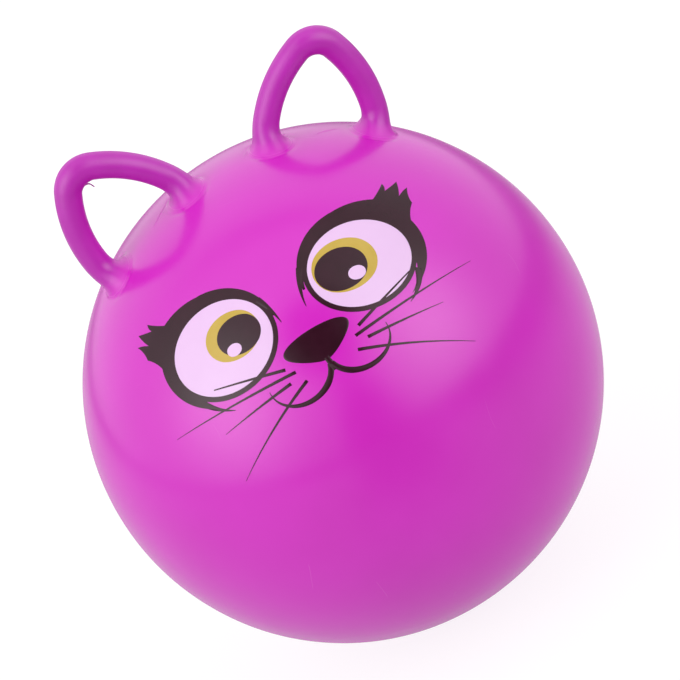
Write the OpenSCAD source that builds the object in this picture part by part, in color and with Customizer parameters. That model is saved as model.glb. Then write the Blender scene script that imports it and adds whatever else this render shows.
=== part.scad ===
// Hopper ball: a hollow inflated ball with two cat-ear handles, a printed face and an air valve.
// The ball stands on +Z with its face towards -Y, and the two ears lie in the plane y = 0.

/* [Ball] */
// Outside diameter of the inflated ball
ball_d = 450; // [400:1:500]
// Thickness of the ball's skin
skin_wall = 0.8; // [0.7:0.1:1.6]
// Diameter of the flat that the ball settles on under its own weight
rest_patch_d = 60; // [50:1:72]

/* [Ears] */
// Angle between straight up and the middle of each ear
ear_lean = 21.75; // [20.5:0.25:24]
// Distance between the two roots of one ear, where its tube meets the ball
ear_span = 88.5; // [80:0.5:96]
// Height of the tube's centre line over the ball, at the tip of the ear
ear_rise = 79.3; // [68:0.1:92]
// Outside diameter of the ear's tube along its sides
ear_tube_d = 22; // [19:0.5:25]
// Outside diameter of the ear's tube at its tip
ear_tip_d = 24; // [20:0.5:26]
// Wall of the ear's tube
ear_wall = 2; // [1.5:0.1:3]
// Bend radius of the tube's centre line at the tip of the ear
ear_tip_r = 21.4; // [18:0.1:25]
// Bow radius of the centre line of an ear's side
ear_side_r = 110.4; // [96:0.1:130]
// Bend radius of the centre line where an ear's side turns down to the ball
ear_foot_r = 36; // [30:0.5:42]
// Radius of the fillet that runs an ear's root out on to the ball
ear_root_r = 9; // [7:0.5:11]
// Clearance under an ear's root, which keeps its flat facets off the round skin
ear_root_clearance = 0.04; // [0.03:0.01:0.1]

/* [Air valve] */
// Angle of the valve below the ball's equator, at the back
valve_drop = 15; // [5:1:30]
// Diameter of the seat's flange inside the ball
seat_flange_d = 42; // [36:1:50]
// Thickness of the seat's flange
seat_flange_t = 3; // [2.4:0.1:4]
// Diameter of the seat's neck, which fills the hole in the skin
seat_neck_d = 26; // [25.5:0.5:30]
// Outside diameter of the seat's inner tube
seat_tube_d = 16; // [14:0.5:19]
// Length of the seat's inner tube below the flange
seat_tube_l = 8; // [6.5:0.5:11]
// Depth of the recess that takes the plug's head
seat_recess_depth = 2.6; // [2.2:0.1:3.2]
// Bore of the valve
valve_bore_d = 8; // [6.5:0.5:9.5]
// Radius of the notch beside the plug's head, for a finger nail
nail_notch_r = 2.2; // [1.8:0.1:2.6]
// Diameter of the plug's head
plug_head_d = 20; // [17:0.5:20.5]
// Length of the plug's stem below its head
plug_stem_l = 14; // [13:0.5:18]
// Depth of the grooves between the plug's ribs
plug_groove_depth = 0.5; // [0.4:0.1:0.7]
// Thickness of one rib on the plug's stem
plug_rib_t = 2; // [1.6:0.1:2.4]
// Distance from one rib to the next
plug_rib_pitch = 3.6; // [3:0.1:4.2]
// Diameter of the blind hole that lets the stem flex
plug_core_hole_d = 3; // [2.4:0.1:3.6]
// Clearance between the plug's ribs and the bore, on the radius
plug_clearance = 0.05; // [0.03:0.01:0.09]
// Clearance round the plug's head, on the radius
plug_head_clearance = 0.2; // [0.15:0.05:0.4]

/* [Printed face] */
// Turn of the face from straight ahead, towards +X
face_turn = -4.6; // [-10:0.1:10]
// Angle of the face's middle above the equator
face_rise = 37; // [32:0.5:42]
// Twist of the print on the ball
face_twist = 3.6; // [-6:0.1:8]
// Distance between the centres of the two eyes
eye_gap = 126; // [110:1:138]
// Width of the thin line round an eye
eye_line_w = 3.5; // [2.6:0.1:4.2]
// Width of the mouth's line where it is widest
mouth_line_w = 4.8; // [4:0.1:6]
// Width of a whisker at its root
whisker_w = 2.5; // [1.6:0.1:3]
// Thickness of the ink on the skin
ink_film = 0.2; // [0.16:0.01:0.26]
// How far the black ink spreads past its drawing, over the colours beside it
ink_spread = 0.1; // [0.05:0.01:0.2]

/* [Hidden] */

// Radii and levels of the ball
ball_r = ball_d / 2;
inner_r = ball_r - skin_wall;
rest_patch_r = rest_patch_d / 2;
centre_z = sqrt(ball_r * ball_r - rest_patch_r * rest_patch_r);
// How far a cutting shape runs past what it cuts
overrun = 2;
// Turn of each sphere's seam to a bare place, between the valve and the left side
seam_turn = 135;

// The ear's tube, and how deep the root fillet's arc dips under the ball's surface
tube_r = ear_tube_d / 2;
tube_bore_r = tube_r - ear_wall;
ear_seat_r = ball_r + ear_root_clearance;
root_dip_share = 0.03;
root_dip = ear_root_r * root_dip_share;

// The ear's own plane: x runs along the ball, y runs out from the ball's centre
root_angle = asin(ear_span / 2 / ball_r);
fillet_reach = ear_seat_r - root_dip + ear_root_r;
root_top = sqrt(pow(fillet_reach, 2) - pow(tube_r + ear_root_r, 2));
root_out = [sin(root_angle), cos(root_angle)];
root_across = [cos(root_angle), -sin(root_angle)];
tip_centre = [0, ball_r + ear_rise - ear_tip_r];
foot_centre = root_top * root_out - ear_foot_r * root_across;

// The side's arc touches the tip's arc and the foot's arc, so its centre lies where two circles meet
tip_reach = ear_side_r - ear_tip_r;
foot_reach = ear_side_r - ear_foot_r;
to_foot = foot_centre - tip_centre;
to_foot_l = norm(to_foot);
along = (tip_reach * tip_reach - foot_reach * foot_reach + to_foot_l * to_foot_l) / (2 * to_foot_l);
aside = sqrt(tip_reach * tip_reach - along * along);
side_dir = to_foot / to_foot_l;
side_normal = [side_dir.y, -side_dir.x];
side_centre_a = tip_centre + along * side_dir + aside * side_normal;
side_centre_b = tip_centre + along * side_dir - aside * side_normal;
side_centre = side_centre_a.x < side_centre_b.x ? side_centre_a : side_centre_b;
tip_end = atan2(tip_centre.y - side_centre.y, tip_centre.x - side_centre.x);
side_end = atan2(foot_centre.y - side_centre.y, foot_centre.x - side_centre.x);
// Where the fillet's arc runs out on to the ball, as a turn from square across the tube
fillet_cos = (pow(ear_root_r, 2) + pow(fillet_reach, 2) - pow(ear_seat_r, 2))
    / (2 * ear_root_r * fillet_reach);
fillet_end = atan2(root_top, tube_r + ear_root_r) - acos(fillet_cos);
// Steps along the fillet, the foot, the side and half the tip, and the sides of the tube
fillet_steps = 5;
foot_steps = 4;
side_steps = 5;
tip_steps = 6;
tube_sides = 24;

// Levels along the valve's axis, from the ball's centre
seat_recess_floor = ball_r - seat_recess_depth;
seat_recess_r = plug_head_d / 2 + plug_head_clearance;
seat_flange_in_r = inner_r - seat_flange_t;
seat_tube_end = seat_flange_in_r - seat_tube_l;
valve_bore_r = valve_bore_d / 2;
plug_rib_r = valve_bore_r - plug_clearance;
plug_core_r = plug_rib_r - plug_groove_depth;
plug_rib_count = 3;
plug_first_rib = plug_rib_pitch - plug_rib_t;
plug_tip_share = 0.62;
plug_tip_l = plug_rib_pitch;
plug_core_hole_l = plug_stem_l - plug_rib_t;
// Sides of the large circles that dome the valve
dome_fn = 256;

// The face is drawn on a plane square to its own direction. Places and sizes are shares of eye_gap,
// and on each eye x runs away from the nose.
eye_side = [1, -1];
eye_place_shares = [[0.482, 0.250], [-0.515, 0.242]];
eye_turn = -2.3;
eye_size_share = [0.987, 1.008];
eye_lid_share = [1.011, 0.969];
eye_iris_share = [1.086, 0.928];
eye_pupil_shift_share = [0, -0.006];
eye_white_shares = [0.338, 0.293];
lid_place_shares = [0.023, 0.015];
lid_size_shares = [0.411, 0.383];
lid_tilt = 8.3;
lid_cut_place_shares = [-0.025, -0.063];
lid_cut_size_shares = [0.354, 0.340];
iris_place_shares = [-0.088, 0.027];
iris_size_shares = [0.198, 0.167];
iris_tilt = -1;
pupil_place_shares = [-0.120, 0.012];
pupil_size_shares = [0.160, 0.133];
glint_place_shares = [-0.050, -0.064];
glint_size_shares = [0.053, 0.043];
glint_shift_shares = [0.008, 0.006];
// The lashes are one tuft: each corner or tip of its edge, and how far the edge bows on its way to the next
lash_edge_shares = [
    [[0.170, 0.396], -0.030], [[0.378, 0.450], 0.006], [[0.371, 0.390], -0.002], [[0.467, 0.427], 0.006],
    [[0.425, 0.300], 0.009], [[0.508, 0.357], -0.009], [[0.484, 0.236], -0.009], [[0.417, 0.112], 0]
];
lash_root_share = 0.8;
// Each whisker or tail has its root, its tip and the bow of its middle
lid_tail_shares = [
    [[-0.338, 0.150], [-0.406, -0.066], -0.010],
    [[0.300, -0.190], [0.160, -0.374], 0.022]
];
lid_tail_w_share = [0.046, 0.060];
stroke_tip_share = 0.004;
nose_place_shares = [0.007, -0.080];
nose_size_shares = [0.211, 0.109];
nose_taper_share = 0.48;
mouth_axis_share = 0.0085;
mouth_stem_shares = [[0.003, -0.172], [0.015, -0.267], 0];
mouth_place_shares = [0.210, -0.184];
mouth_size_shares = [0.208, 0.169];
mouth_from = 191.5;
mouth_to = 365.6;
mouth_width_shares = [0.94, 1, 0.78, 0.43, 0.08];
whisker_axis_share = 0.0094;
whisker_tip_share = 0.12;
whisker_shares = [
    [[0.262, -0.106], [0.712, 0.048], -0.002],
    [[0.214, -0.152], [1.081, -0.051], -0.003],
    [[0.276, -0.196], [0.790, -0.221], 0],
    [[0.182, -0.233], [0.836, -0.520], 0.012]
];
stroke_steps = 10;
lash_steps = 6;
mouth_steps = 24;

skin_colour = [0.85, 0.20, 0.79];
ear_colour = [0.74, 0.25, 0.70];
valve_colour = [0.80, 0.18, 0.74];
plug_colour = [0.93, 0.92, 0.90];
black_colour = [0.25, 0.18, 0.20];
lilac_colour = [0.92, 0.78, 0.93];
gold_colour = [0.83, 0.70, 0.33];

$fn = 144;

module at_centre() {
    translate([0, 0, centre_z]) children();
}

// A sphere with its seam in a bare place
module ball_solid(r) {
    rotate([0, 0, seam_turn]) sphere(r);
}

// Everything below a level that is measured from the rest plane
module below(level) {
    translate([-ball_d, -ball_d, level - centre_z - ball_d]) cube([2 * ball_d, 2 * ball_d, ball_d]);
}

// Stands its children on the ball at a place that leans from straight up in the plane y = 0
module at_lean(angle) {
    rotate([0, angle, 0]) children();
}

// Lays +Z along the valve's axis, from the ball's centre out through the back
module on_valve_axis() {
    rotate([-90 - valve_drop, 0, 0]) children();
}

module ear_bore() {
    translate([0, 0, inner_r - overrun]) cylinder(r = tube_bore_r, h = skin_wall + 2 * overrun);
}

module ball_skin() {
    color(skin_colour) at_centre() difference() {
        ball_solid(ball_r);
        difference() {
            ball_solid(inner_r);
            below(skin_wall);
        }
        below(0);
        for (side = [-1, 1], root = [-1, 1])
            at_lean(side * ear_lean + root * root_angle) ear_bore();
        on_valve_axis() translate([0, 0, inner_r - overrun])
            cylinder(d = seat_neck_d, h = skin_wall + 2 * overrun);
    }
}

// Stations along one half of the ear's centre line, from its root to its tip: a place in the ear's
// plane, the direction square to the line, and the tube's radius there
function swollen(a) = tube_r + (ear_tip_d / 2 - tube_r) * pow(max(sin(a), 0), 3);

function bend(centre, r, from, to, steps) =
    [for (i = [0 : steps - 1]) let (a = from + (to - from) * i / steps)
     [centre + r * [cos(a), sin(a)], a, swollen(a)]];

function bends() = concat(
    bend(foot_centre, ear_foot_r, -root_angle, side_end, foot_steps),
    bend(side_centre, ear_side_r, side_end, tip_end, side_steps),
    bend(tip_centre, ear_tip_r, tip_end, 90, tip_steps));

function fillet() =
    [for (i = [fillet_steps : -1 : 1]) let (a = fillet_end * i / fillet_steps)
     [root_out * (root_top - ear_root_r * sin(a)), -root_angle, tube_r + ear_root_r * (1 - cos(a))]];

function outer_half() = concat(fillet(), bends());

function bore_half() = concat(
    [[root_out * sqrt(pow(ear_seat_r, 2) - pow(tube_bore_r, 2)), -root_angle, tube_bore_r]],
    [for (st = bends()) [st[0], st[1], st[2] - ear_wall]]);

// Both halves, over the tip
function over_tip(half, top) = concat(half, [top],
    [for (i = [len(half) - 1 : -1 : 0]) [[-half[i][0].x, half[i][0].y], 180 - half[i][1], half[i][2]]]);

function rings(stations) =
    [for (st = stations, k = [0 : tube_sides - 1]) let (t = 360 * k / tube_sides)
     [st[0].x + st[2] * cos(t) * cos(st[1]), st[0].y + st[2] * cos(t) * sin(st[1]), st[2] * sin(t)]];

// Two triangles for each four-cornered patch
function halved(a, b, c, d) = [[a, b, c], [a, c, d]];

// A hollow tube through two lists of rings, closed at its ends by rims
module ring_tube(outer, bore) {
    sides = tube_sides;
    base = len(outer) * sides;
    last_outer = (len(outer) - 1) * sides;
    last_bore = base + (len(bore) - 1) * sides;
    polyhedron(
        points = concat(rings(outer), rings(bore)),
        faces = concat(
            [for (i = [0 : len(outer) - 2], k = [0 : sides - 1]) let (a = i * sides, m = (k + 1) % sides)
             each halved(a + k, a + m, a + sides + m, a + sides + k)],
            [for (i = [0 : len(bore) - 2], k = [0 : sides - 1])
             let (a = base + i * sides, m = (k + 1) % sides)
             each halved(a + k, a + sides + k, a + sides + m, a + m)],
            [for (k = [0 : sides - 1]) let (m = (k + 1) % sides)
             each halved(k, base + k, base + m, m)],
            [for (k = [0 : sides - 1]) let (m = (k + 1) % sides)
             each halved(last_outer + k, last_outer + m, last_bore + m, last_bore + k)]));
}

// One tube bent up, over the tip and down again, run out at each root in a fillet on the ball
module ear() {
    top = tip_centre + [0, ear_tip_r];
    rotate([90, 0, 0])
        ring_tube(over_tip(outer_half(), [top, 90, swollen(90)]),
                  over_tip(bore_half(), [top, 90, swollen(90) - ear_wall]));
}

module left_ear_handle() {
    color(ear_colour) at_centre() at_lean(-ear_lean) ear();
}

module right_ear_handle() {
    color(ear_colour) at_centre() at_lean(ear_lean) ear();
}

// Half of the seat's section: a flange under the skin, a neck through it and a tube inside
module seat_section() {
    difference() {
        union() {
            intersection() {
                difference() {
                    circle(inner_r, $fn = dome_fn);
                    circle(seat_flange_in_r, $fn = dome_fn);
                }
                square([seat_flange_d / 2, ball_r]);
            }
            intersection() {
                circle(ball_r, $fn = dome_fn);
                translate([0, seat_flange_in_r]) square([seat_neck_d / 2, ball_r - seat_flange_in_r]);
            }
            translate([0, seat_tube_end]) square([seat_tube_d / 2, seat_recess_floor - seat_tube_end]);
        }
        translate([0, seat_recess_floor]) square([seat_recess_r, seat_recess_depth + overrun]);
        translate([0, seat_tube_end - overrun]) square([valve_bore_r, ball_r - seat_tube_end]);
    }
}

module valve_seat() {
    color(valve_colour) at_centre() on_valve_axis() difference() {
        rotate_extrude() seat_section();
        translate([0, -seat_recess_r, seat_recess_floor]) cylinder(r = nail_notch_r, h = ball_r);
    }
}

// Half of the plug's section: a domed head, a stem with ribs and a tapered tip
module plug_section() {
    stem_end = seat_recess_floor - plug_stem_l;
    difference() {
        union() {
            intersection() {
                circle(ball_r, $fn = dome_fn);
                translate([0, seat_recess_floor]) square([plug_head_d / 2, seat_recess_depth + overrun]);
            }
            translate([0, stem_end + plug_tip_l])
                square([plug_core_r, seat_recess_floor - stem_end - plug_tip_l]);
            for (i = [0 : plug_rib_count - 1])
                translate([0, seat_recess_floor - plug_first_rib - i * plug_rib_pitch - plug_rib_t])
                    square([plug_rib_r, plug_rib_t]);
            polygon([[0, stem_end], [plug_core_r * plug_tip_share, stem_end],
                     [plug_core_r, stem_end + plug_tip_l], [0, stem_end + plug_tip_l]]);
        }
        translate([0, stem_end - overrun]) square([plug_core_hole_d / 2, plug_core_hole_l + overrun]);
    }
}

module valve_plug() {
    color(plug_colour) at_centre() on_valve_axis() rotate_extrude() plug_section();
}

// Puts a drawing on the ball: +Z runs out through the middle of the face and +Y runs up it
module on_face() {
    rotate([0, 0, face_turn]) rotate([90 - face_rise, 0, 0]) rotate([0, 0, face_twist]) children();
}

// The film of ink under a drawing, between the skin and the ink's own surface
module ink_on_ball() {
    at_centre() intersection() {
        difference() {
            ball_solid(ball_r + ink_film);
            ball_solid(ball_r);
        }
        on_face() translate([0, 0, ball_r / 2]) linear_extrude(height = ball_r) children();
    }
}

function turned(p, a) = [p.x * cos(a) - p.y * sin(a), p.x * sin(a) + p.y * cos(a)];

// A place on one eye, as x away from the nose and y up, moved on to the face
function on_eye(eye, p) =
    eye_gap * eye_place_shares[eye] + eye_size_share[eye] * turned([eye_side[eye] * p.x, p.y], eye_turn);

// An oval on one eye, from its place, its half sizes and its tilt
function eye_oval(eye, place, size, tilt) =
    [for (a = [0 : 6 : 354]) on_eye(eye, place + turned([size.x * cos(a), size.y * sin(a)], tilt))];

// A tapered stroke from root to tip: its middle line bows as a parabola and its width falls evenly
function stroke(root, tip, bow, root_w, tip_w) =
    let (run = tip - root, square_to = [-run.y, run.x] / norm(run))
    let (line = [for (i = [0 : stroke_steps]) let (s = i / stroke_steps)
                 [root + run * s + square_to * (4 * bow * s * (1 - s)),
                  (root_w + (tip_w - root_w) * s) / 2]])
    concat([for (p = line) p[0] + square_to * p[1]],
           [for (i = [stroke_steps : -1 : 0]) line[i][0] - square_to * line[i][1]]);

function width_at(s) =
    let (n = len(mouth_width_shares) - 1, i = min(floor(s * n), n - 1), part = s * n - i)
    mouth_line_w * (mouth_width_shares[i] * (1 - part) + mouth_width_shares[i + 1] * part);

// Half the mouth: a line along an oval arc from the nose to the cheek, thinner as it goes
function mouth_line(side) =
    let (size = eye_gap * mouth_size_shares, place = eye_gap * mouth_place_shares)
    let (line = [for (i = [0 : mouth_steps])
                 let (s = i / mouth_steps, a = mouth_from + (mouth_to - mouth_from) * s)
                 let (along_arc = [-size.x * sin(a), size.y * cos(a)])
                 [place + [size.x * cos(a), size.y * sin(a)],
                  [-along_arc.y, along_arc.x] / norm(along_arc) * width_at(s) / 2]])
    [for (p = concat([for (q = line) q[0] + q[1]],
                     [for (i = [mouth_steps : -1 : 0]) line[i][0] - line[i][1]]))
     [eye_gap * mouth_axis_share + side * p.x, p.y]];

module eye_part(eye, place_shares, size_shares, tilt = 0) {
    polygon(eye_oval(eye, eye_gap * place_shares, eye_gap * size_shares, tilt));
}

module eye_white(eye) {
    eye_part(eye, [0, 0], eye_white_shares);
}

module iris(eye) {
    eye_part(eye, iris_place_shares, iris_size_shares * eye_iris_share[eye], iris_tilt);
}

module pupil(eye) {
    shift = [eye_pupil_shift_share[eye], 0];
    eye_part(eye, pupil_place_shares + shift, pupil_size_shares * eye_iris_share[eye]);
}

module glint(eye) {
    translate(eye_gap * glint_shift_shares)
        eye_part(eye, glint_place_shares, glint_size_shares * eye_iris_share[eye]);
}

module eye_stroke(eye, shares, w) {
    tip_w = eye_gap * stroke_tip_share;
    points = stroke(eye_gap * shares[0], eye_gap * shares[1], eye_gap * shares[2], w, tip_w);
    polygon([for (p = points) on_eye(eye, eye_lid_share[eye] * p)]);
}

// The edge of the lashes: from each corner or tip to the next along a parabola
function lash_edge() =
    [for (i = [0 : len(lash_edge_shares) - 2], k = [0 : lash_steps - 1])
     let (a = lash_edge_shares[i][0], run = lash_edge_shares[i + 1][0] - a, s = k / lash_steps)
     a + run * s + [-run.y, run.x] / norm(run) * (4 * lash_edge_shares[i][1] * s * (1 - s))];

module lashes(eye) {
    tip = lash_edge_shares[len(lash_edge_shares) - 1][0];
    root = lash_edge_shares[0][0];
    edge = concat(lash_edge(), [tip, tip * lash_root_share, root * lash_root_share]);
    polygon([for (p = edge) on_eye(eye, eye_gap * eye_lid_share[eye] * p)]);
}

// The dark frame of one eye: a thin line, a heavy lid that runs out in two tails, and a tuft of three lashes
module eye_frame(eye) {
    share = eye_lid_share[eye];
    difference() {
        union() {
            difference() {
                eye_part(eye, share * lid_place_shares, share * lid_size_shares, lid_tilt);
                eye_part(eye, share * lid_cut_place_shares, share * lid_cut_size_shares);
            }
            polygon(eye_oval(eye, [0, 0], eye_gap * eye_white_shares + [eye_line_w, eye_line_w], 0));
            for (i = [0, 1])
                eye_stroke(eye, lid_tail_shares[i], eye_gap * lid_tail_w_share[i]);
            lashes(eye);
        }
        eye_white(eye);
    }
}

// The nose is an oval whose width grows towards its top
module nose() {
    place = eye_gap * nose_place_shares;
    size = eye_gap * nose_size_shares;
    polygon([for (a = [0 : 7.5 : 352.5])
             place + [size.x * cos(a) * (1 + nose_taper_share * sin(a)), size.y * sin(a)]]);
}

module mouth() {
    polygon(stroke(eye_gap * mouth_stem_shares[0], eye_gap * mouth_stem_shares[1], 0,
                   mouth_line_w, mouth_line_w * mouth_width_shares[1]));
    for (side = [1, -1])
        polygon(mouth_line(side));
}

module whiskers() {
    for (side = [1, -1], shares = whisker_shares) {
        points = stroke(eye_gap * shares[0], eye_gap * shares[1], eye_gap * shares[2],
                        whisker_w, whisker_w * whisker_tip_share);
        polygon([for (p = points) [eye_gap * whisker_axis_share + side * p.x, p.y]]);
    }
}

// All black lines run together into one drawing
module black_drawing() {
    offset(delta = ink_spread) {
        for (eye = [0, 1]) {
            eye_frame(eye);
            difference() {
                pupil(eye);
                glint(eye);
            }
        }
        nose();
        mouth();
        whiskers();
    }
}

// The glint lies over the gold and the black, and the rest of the lilac lies round the gold
module gold_drawing(eye) {
    difference() {
        iris(eye);
        glint(eye);
    }
}

module print_black_ink() {
    color(black_colour) ink_on_ball() black_drawing();
}

module print_lilac_ink() {
    color(lilac_colour) ink_on_ball() difference() {
        for (eye = [0, 1])
            eye_white(eye);
        for (eye = [0, 1])
            gold_drawing(eye);
        black_drawing();
    }
}

module print_gold_ink() {
    color(gold_colour) ink_on_ball() difference() {
        for (eye = [0, 1])
            gold_drawing(eye);
        black_drawing();
    }
}

ball_skin();
left_ear_handle();
right_ear_handle();
valve_seat();
valve_plug();
print_black_ink();
print_lilac_ink();
print_gold_ink();
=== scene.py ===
"""Hopper ball with two cat ears: the looks of the inflated ball, its ears, its printed face and its valve.

Every surface is a function of two parameters worked out on a grid, in metres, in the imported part's frame:
+Z is up between the ears, and the face looks towards -Y.
"""

import math

import bpy
import numpy as np
from mathutils import Matrix


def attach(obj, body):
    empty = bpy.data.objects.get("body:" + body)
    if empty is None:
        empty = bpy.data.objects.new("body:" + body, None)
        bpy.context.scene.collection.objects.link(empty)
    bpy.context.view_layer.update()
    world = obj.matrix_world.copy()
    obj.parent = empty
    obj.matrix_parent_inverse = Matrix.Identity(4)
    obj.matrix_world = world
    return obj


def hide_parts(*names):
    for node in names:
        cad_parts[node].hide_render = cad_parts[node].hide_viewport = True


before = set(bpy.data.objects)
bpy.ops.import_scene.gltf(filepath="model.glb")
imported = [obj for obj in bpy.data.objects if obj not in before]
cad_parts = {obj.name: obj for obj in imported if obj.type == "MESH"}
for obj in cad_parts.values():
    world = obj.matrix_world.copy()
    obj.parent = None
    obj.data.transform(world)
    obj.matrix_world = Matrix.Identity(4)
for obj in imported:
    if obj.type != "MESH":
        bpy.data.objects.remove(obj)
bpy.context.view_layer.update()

MM = 0.001

# The ball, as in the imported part
BALL_R = 225 * MM
REST_R = 30 * MM
CENTRE_Z = math.sqrt(BALL_R**2 - REST_R**2)
CENTRE = np.array([0.0, 0.0, CENTRE_Z])
SKIN_WALL = 0.8 * MM
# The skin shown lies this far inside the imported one, give or take the slow waves of the cast skin. Each wave
# is a sine over the unit direction from the centre: its share, how fast it turns along x, y and z, and where
# it starts.
SKIN_INSET = 0.22 * MM
WAVE_RISE = 0.1 * MM
WAVES = (
    (0.5, (5.1, 0, 4.3), 1.7),
    (0.5, (5.1, 0, -4.3), 0.9),
    (0.6, (3.9, 8.7, 0), 0),
    (0.4, (-7.3, 0, 13.1), 2.0 + math.pi / 2),
)
# How softly the ball bends into its flat patch, and how much the skin rolls over at the valve's hole
REST_EDGE = 0.7 * MM
RIM_ROLL = 0.25 * MM
# The ball's grid: columns round the valve's axis, rings from the front to the valve and rings back inside.
# The columns lie closer towards the top, and the rings round a turn from the front: the gain and the width
# of each crowding, and that turn.
BALL_COLUMNS = 384
BALL_RINGS = 217
INNER_RINGS = 25
CLOSE_COLUMNS = (2.2, 0.75)
CLOSE_RINGS = (2.0, 0.3)
CLOSE_TURN = math.radians(77)

# The ears' tube in its own plane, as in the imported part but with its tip 0.3 mm lower, to stay inside it
EAR_LEAN = math.radians(21.75)
EAR_SPAN = 88.5 * MM
EAR_HEIGHT = 79.0 * MM
TUBE_R = 11 * MM
TIP_TUBE_R = 12 * MM
TIP_BEND_R = 21.4 * MM
SIDE_BEND_R = 110.4 * MM
FOOT_BEND_R = 36 * MM
ROOT_ANGLE = math.asin(EAR_SPAN / 2 / BALL_R)
STUB_TOP = 232.913 * MM
# An ear's grid: points along the stub and along each arc, how much closer the stub's lie at the ball, and
# columns round the tube, closer at the raised line by a gain and a width
EAR_RINGS = (20, 44, 46, 34)
STUB_GAIN = 2
EAR_COLUMNS = 88
CLOSE_SEAM = (5, 0.12)

# How far the tube's foot runs out on the ball and how high it starts, outside, inside and across the hoop
FLARE_OUT = (10 * MM, 24 * MM)
FLARE_IN = (11 * MM, 9 * MM)
FLARE_ACROSS = (15 * MM, 13 * MM)
# How much of a foot's wall, before and behind the ear, follows a parabola instead of a quarter ellipse, and
# how many times the foot's own height the ellipse and the parabola take to run out
PARABOLA_SHARE = 0.7
ELLIPSE_RUN = 1.25
PARABOLA_RUN = 1.8
# The crease round a foot: how far out from its edge, how deep, how wide, and its share in the ear's plane
CREASE_OUT = 0.6 * MM
CREASE_DEPTH = 0.7 * MM
CREASE_W = 1.5 * MM
CREASE_LEAST = 0.35
# The raised line where an ear's mould parted: its rise, its half width as the sine of the turn round the
# tube, and the height at which it has its full rise
EAR_SEAM_RISE = 0.22 * MM
EAR_SEAM_SINE = 0.05
EAR_SEAM_START = 8 * MM
# How far a foot's lowest ring lies under the skin, and how far the ring that closes it lies below that. The
# closing point lies twice as far.
FOOT_SINK = 0.04 * MM
FOOT_ROOT = 2.5 * MM
# Raised lines where the mould parted, and a fold beside the right ear: their width, their rise, the bell's
# width across as a share of half of theirs, the power of the arch along, their steps along and across, and
# where each runs over the ball, as x and y
SEAM_W = 2.0 * MM
SEAM_RISE = 0.32 * MM
SEAM_BELL = 0.45
SEAM_ARCH = 0.7
SEAM_GRID = (40, 9)
SEAMS = (
    ("left_mould_line", ((-0.0789, -0.0043), (-0.0669, 0.0064), (-0.0557, 0.0218))),
    ("right_mould_line", ((0.0764, -0.0029), (0.0880, 0.0035), (0.1011, 0.0078))),
    ("middle_mould_line", ((0.0154, -0.0019), (0.0208, 0.0070), (0.0269, 0.0168))),
    ("right_ear_fold", ((0.0568, 0.0330), (0.0582, 0.0130), (0.0656, -0.0066))),
)
# A curl of flash in the left ear's inner corner: points across the ear and out from the ball's centre, and
# its radius at the root and at the tip, and its rings and columns
CURL = (
    (-0.0046, 0.2945), (-0.0020, 0.2925), (0.0003, 0.2916),
    (0.0018, 0.2906), (0.0026, 0.2882), (0.0029, 0.2850),
)
CURL_R = (0.9 * MM, 0.45 * MM)
CURL_GRID = (30, 12)

# The valve's axis points out through the back, a little below the equator
VALVE_DROP = math.radians(15)
VALVE_HOLE_R = 13.2 * MM
VALVE_AXIS = np.array([0.0, math.cos(VALVE_DROP), -math.sin(VALVE_DROP)])
VALVE_UP = np.array([0.0, math.sin(VALVE_DROP), math.cos(VALVE_DROP)])
SIDEWAYS = np.array([1.0, 0.0, 0.0])

# The printed face: its direction and its twist
FACE_TURN = math.radians(-4.6)
FACE_RISE = math.radians(37)
FACE_TWIST = math.radians(3.6)
# The ink: its height over the skin, the step from layer to layer, the step from patch to patch and how many
# patches it takes to come round, and how far its border and its underside lie under the skin
INK = 0.1 * MM
INK_STEP = 0.02 * MM
PATCH_STEP = 0.004 * MM
PATCH_LEVELS = 5
INK_BORDER = 0.02 * MM
INK_ROOT = 0.05 * MM

# The face's own axes on the ball
FACE_OUT = np.array([math.sin(FACE_TURN) * math.cos(FACE_RISE), -math.cos(FACE_TURN) * math.cos(FACE_RISE),
                     math.sin(FACE_RISE)])
FACE_LEVEL = np.array([math.cos(FACE_TURN), math.sin(FACE_TURN), 0.0])
FACE_UPWARD = np.cross(FACE_OUT, FACE_LEVEL)
FACE_X = math.cos(FACE_TWIST) * FACE_LEVEL + math.sin(FACE_TWIST) * FACE_UPWARD
FACE_Y = -math.sin(FACE_TWIST) * FACE_LEVEL + math.cos(FACE_TWIST) * FACE_UPWARD

# The print's places and sizes are shares of the gap between the eyes. An oval has its middle, its half sizes
# and its tilt in degrees. A stroke has its root, its tip, the bow of its middle and its width at the root.
EYE_GAP = 126 * MM
# Each eye: its side, place and size, how much larger than drawn its lid and its iris are, how far its pupil
# is shifted, and the strokes that go on from the lid's two ends
EYES = (
    {"side": 1, "place": (0.482, 0.250), "size": 0.987, "lid": 1.011, "iris": 1.086, "pupil": 0,
     "tails": (((-0.338, 0.150), (-0.419, -0.103), -0.018, 0.046),
               ((0.306, -0.194), (0.160, -0.374), 0.024, 0.052))},
    {"side": -1, "place": (-0.515, 0.242), "size": 1.008, "lid": 0.969, "iris": 0.928, "pupil": -0.006,
     "tails": (((-0.338, 0.150), (-0.406, -0.066), -0.010, 0.046),
               ((0.306, -0.194), (0.120, -0.392), 0.024, 0.052))},
)
# The turn of both eyes in degrees, the half sizes of their fields, and the thin line round them
EYE_TURN = -2.3
WHITE = (0.338, 0.293)
EYE_LINE = 3.6 * MM / EYE_GAP
# How far the black ink laps over the field's edge, and the turn by which the thin line laps over its start
WHITE_LAP = 0.004
LINE_LAP = 0.06
# The lid is never thinner than this, and lies inside the first oval and outside the second
LEAST_LID = 1e-4
LID = ((0.023, 0.015), (0.411, 0.383), 8.3)
LID_CUT = ((-0.025, -0.063), (0.354, 0.340), 0)
# The turn by which the lid stops short of its point beside the nose, where the tail goes on
LID_TRIM = 0.18
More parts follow.
